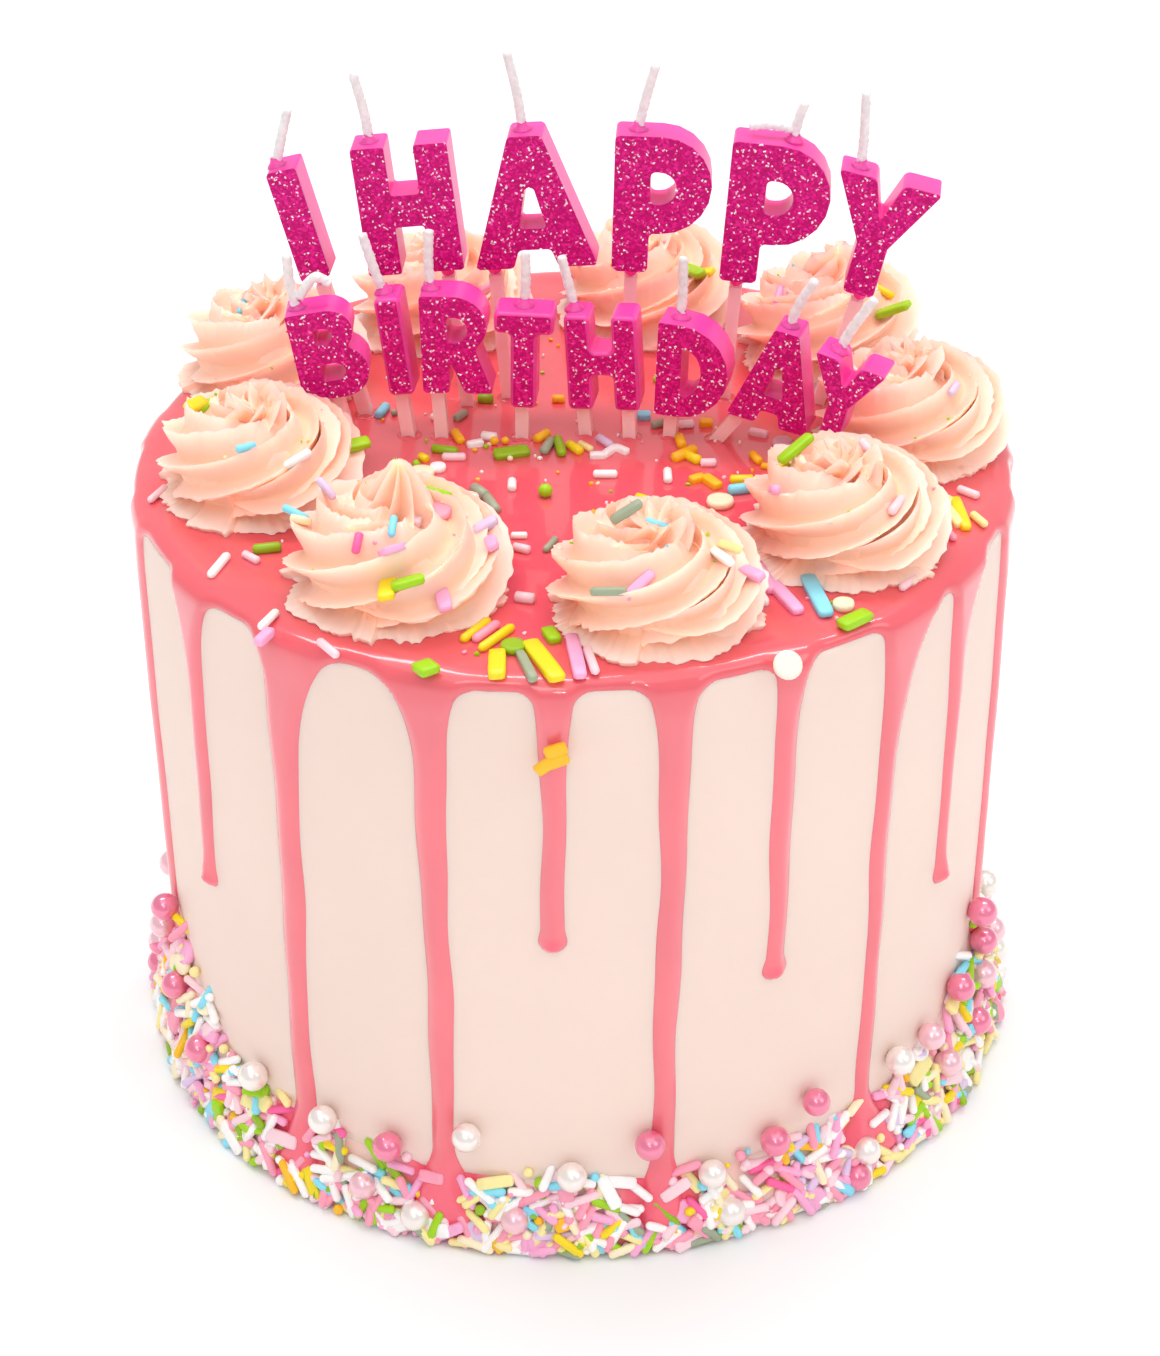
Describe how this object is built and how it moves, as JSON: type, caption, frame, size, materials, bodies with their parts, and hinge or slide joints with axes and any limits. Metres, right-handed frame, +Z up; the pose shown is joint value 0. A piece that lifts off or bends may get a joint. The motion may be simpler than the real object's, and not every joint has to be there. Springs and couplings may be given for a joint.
{
  "type": "birthday cake with candles",
  "caption": "Round frosted birthday cake with a poured drip glaze, piped rosettes, scattered sprinkles and upright letter candles on thin picks.",
  "frame": {"origin": "centre of the cake's flat base", "axes": "+Z up, -Y towards the side that the candles' letters face, +X to the right of that side"},
  "size_m": [0.1702, 0.1714, 0.1881],
  "materials": {
    "frosting": "smooth pale peach buttercream with a faint scraped texture",
    "glaze": "glossy coral pink glaze",
    "rosette": "piped peach buttercream, satin",
    "wax": "hot pink candle wax with a glitter coat on the front",
    "pick": "pale pink translucent plastic",
    "wick": "white braided cotton"
  },
  "bodies": {
    "root": {"frosted_cake": "frosting", "drip_glaze": "glaze", "rosette_left_back": "rosette", "rosette_left": "rosette", "rosette_left_front": "rosette", "rosette_front": "rosette", "rosette_right_front": "rosette", "rosette_right": "rosette", "rosette_right_back": "rosette", "rosette_back": "rosette", "rosette_back_left": "rosette", "candle_back_1": "wax", "wick_back_1": "wick", "candle_back_2": "wax", "wick_back_2": "wick", "candle_back_3": "wax", "wick_back_3": "wick", "candle_back_4": "wax", "wick_back_4": "wick", "candle_back_5": "wax", "wick_back_5": "wick", "candle_back_6": "wax", "wick_back_6": "wick", "candle_front_1": "wax", "wick_front_1": "wick", "candle_front_2": "wax", "wick_front_2": "wick", "candle_front_3": "wax", "wick_front_3": "wick", "candle_front_4": "wax", "wick_front_4": "wick", "candle_front_5": "wax", "wick_front_5": "wick", "candle_front_6": "wax", "wick_front_6": "wick", "candle_front_7": "wax", "wick_front_7": "wick", "candle_front_8": "wax", "wick_front_8": "wick", "pick_back_1": "pick", "pick_back_2": "pick", "pick_back_3": "pick", "pick_back_4": "pick", "pick_back_5": "pick", "pick_back_6": "pick", "pick_front_1": "pick", "pick_front_2": "pick", "pick_front_3": "pick", "pick_front_4": "pick", "pick_front_5": "pick", "pick_front_5_second": "pick", "pick_front_6": "pick", "pick_front_7": "pick", "pick_front_8": "pick"}
  },
  "joints": []
}
